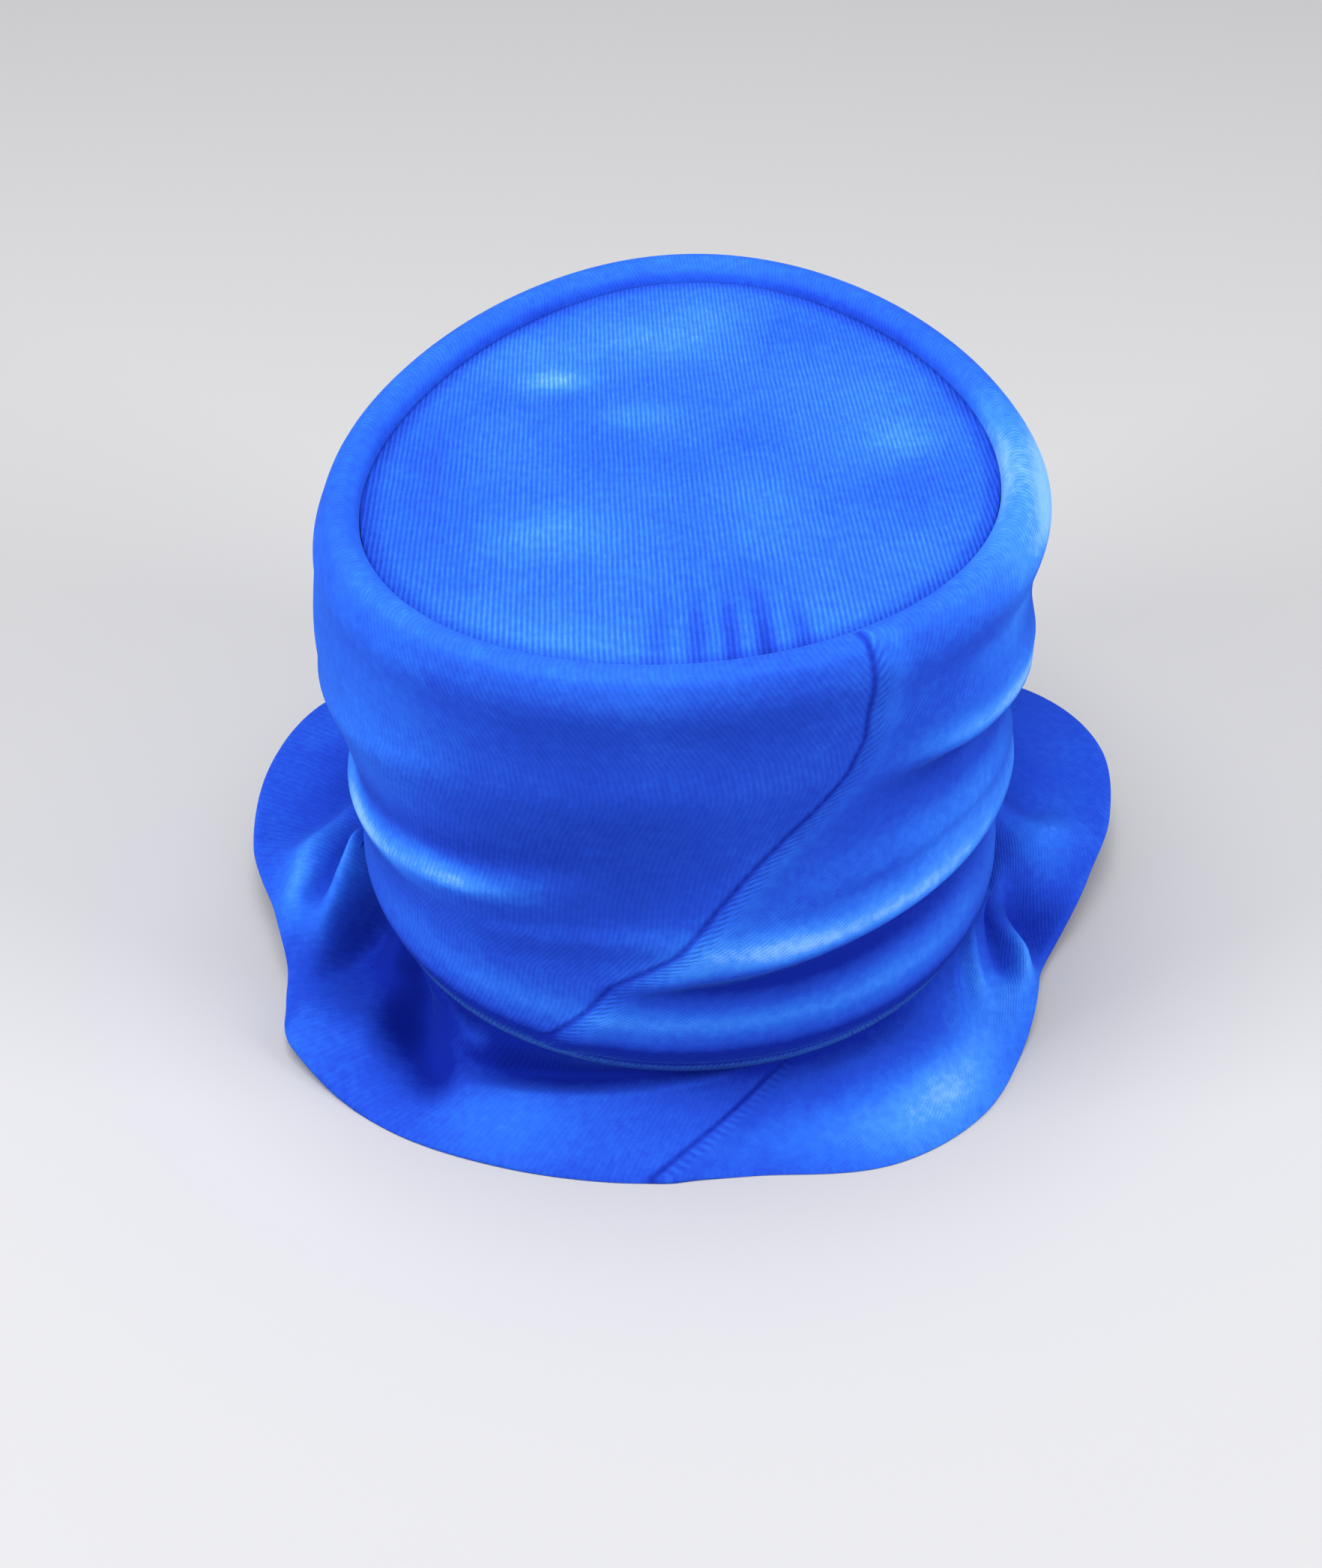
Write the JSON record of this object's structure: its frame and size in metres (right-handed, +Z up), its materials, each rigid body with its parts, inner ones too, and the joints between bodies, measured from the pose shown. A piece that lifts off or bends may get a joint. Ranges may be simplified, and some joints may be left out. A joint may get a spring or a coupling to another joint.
{
  "type": "floppy hat",
  "caption": "Soft velvet hat with a tall draped crown, a flat oval tip inside a rolled edge, and a short drooping brim with folds.",
  "frame": {"origin": "on the table the brim rests on, under the middle of the hat's plan extents", "axes": "+Z up, +Y towards the back of the hat, +X towards the wearer's left"},
  "size_m": [0.2506, 0.2488, 0.1554],
  "materials": {
    "tip": "royal blue velvet",
    "side": "royal blue velvet",
    "brim": "royal blue velvet"
  },
  "bodies": {
    "root": {"crown_tip": "tip", "crown_side": "side", "brim": "brim"}
  },
  "joints": []
}
